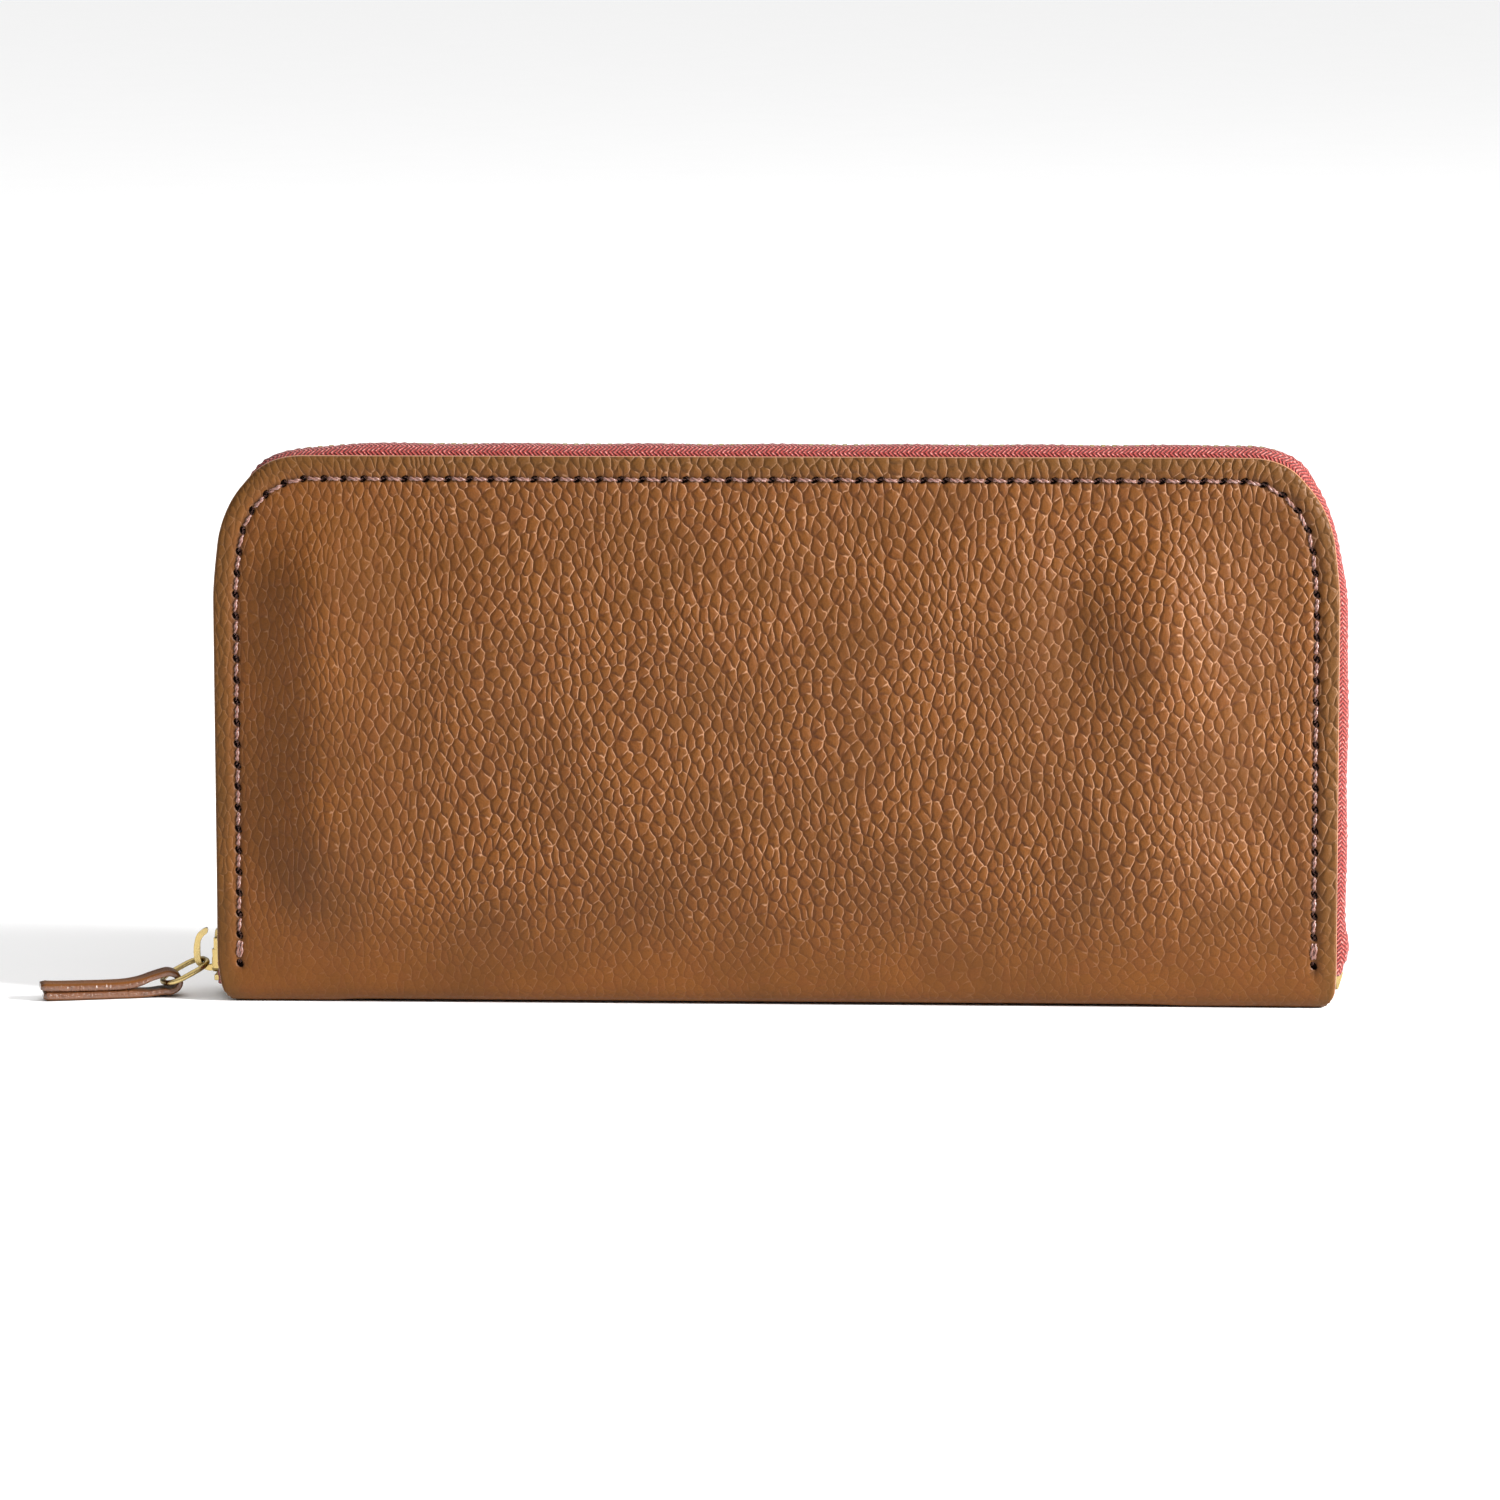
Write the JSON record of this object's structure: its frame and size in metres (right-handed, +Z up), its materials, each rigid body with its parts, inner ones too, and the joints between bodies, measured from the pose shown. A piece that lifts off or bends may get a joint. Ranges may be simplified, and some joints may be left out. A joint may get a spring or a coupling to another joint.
{
  "type": "zip-around wallet",
  "caption": "Long zip-around wallet in pebbled leather, standing on its spine fold, with a metal zip, slider, ring and leather pull tab, card pockets and a zipped coin pocket inside.",
  "frame": {"origin": "centre of the spine's underside, on the surface that the wallet stands on", "axes": "+Z up from the spine fold to the zip, +X along the wallet's length away from the closed zip slider, +Y from the front cover to the back cover"},
  "size_m": [0.2346, 0.025, 0.0998],
  "materials": {
    "outer_leather": "pebbled, semi-matt brown with burnished edges",
    "inner_leather": "smooth, matt light brown",
    "lining_cloth": "matt tan woven cloth",
    "zip_tape": "coral herringbone tape",
    "gold_metal": "polished pale gold"
  },
  "bodies": {
    "spine": {"spine_leather": "outer_leather", "spine_lining": "lining_cloth", "bottom_stop": "gold_metal", "coin_pocket": "lining_cloth", "coin_tape_front": "zip_tape", "coin_tape_back": "zip_tape", "coin_teeth_front": "gold_metal", "coin_teeth_back": "gold_metal", "coin_stop_left": "gold_metal", "coin_stop_right": "gold_metal"},
    "front_half": {"front_cover": "outer_leather", "front_lining": "lining_cloth", "front_tape": "zip_tape", "front_teeth": "gold_metal", "front_top_stop": "gold_metal", "front_card_slot_1": "inner_leather", "front_card_slot_2": "inner_leather", "front_card_slot_3": "inner_leather", "front_gusset_left": "lining_cloth", "front_gusset_right": "lining_cloth"},
    "back_half": {"back_cover": "outer_leather", "back_lining": "lining_cloth", "back_tape": "zip_tape", "back_teeth": "gold_metal", "back_top_stop": "gold_metal", "back_card_slot_1": "inner_leather", "back_card_slot_2": "inner_leather", "back_card_slot_3": "inner_leather", "back_gusset_left": "lining_cloth", "back_gusset_right": "lining_cloth"},
    "slider": {"slider_body": "gold_metal"},
    "pull_ring": {"pull_ring": "gold_metal"},
    "pull_tab": {"pull_tab": "outer_leather"},
    "coin_slider": {"coin_slider_body": "gold_metal"},
    "coin_pull": {"coin_pull": "gold_metal"}
  },
  "joints": [
    {"name": "front_open", "type": "hinge", "parent": "spine", "child": "front_half", "pos_m": [0, -0.0065, 0.003], "axis": [1, 0, 0], "range_deg": [0, 35], "deforming": ["front_gusset_left", "front_gusset_right", "front_tape", "front_teeth"]},
    {"name": "back_open", "type": "hinge", "parent": "spine", "child": "back_half", "pos_m": [0, 0.0065, 0.003], "axis": [1, 0, 0], "range_deg": [-35, 0], "deforming": ["back_gusset_left", "back_gusset_right"]},
    {"name": "slider_travel", "type": "slide", "parent": "back_half", "child": "slider", "axis": [0, 0, 1], "range_m": [0, 0.06]},
    {"name": "ring_swing", "type": "hinge", "parent": "slider", "child": "pull_ring", "pos_m": [-0.1035, 0, 0.0061], "axis": [-0.4384, 0.8988, 0], "range_deg": [0, 60]},
    {"name": "tab_swing", "type": "hinge", "parent": "pull_ring", "child": "pull_tab", "pos_m": [-0.11052, -0.00343, 0.00251], "axis": [-0.4384, 0.8988, 0], "range_deg": [0, 35]},
    {"name": "coin_slide", "type": "slide", "parent": "spine", "child": "coin_slider", "axis": [1, 0, 0], "range_m": [0, 0.155]},
    {"name": "coin_pull_swing", "type": "hinge", "parent": "coin_slider", "child": "coin_pull", "pos_m": [-0.0795, 0, 0.08715], "axis": [0, -1, 0], "range_deg": [0, 170]}
  ],
  "couplings": [
    {"joint": "back_open", "follows": "front_open", "ratio": -1}
  ]
}
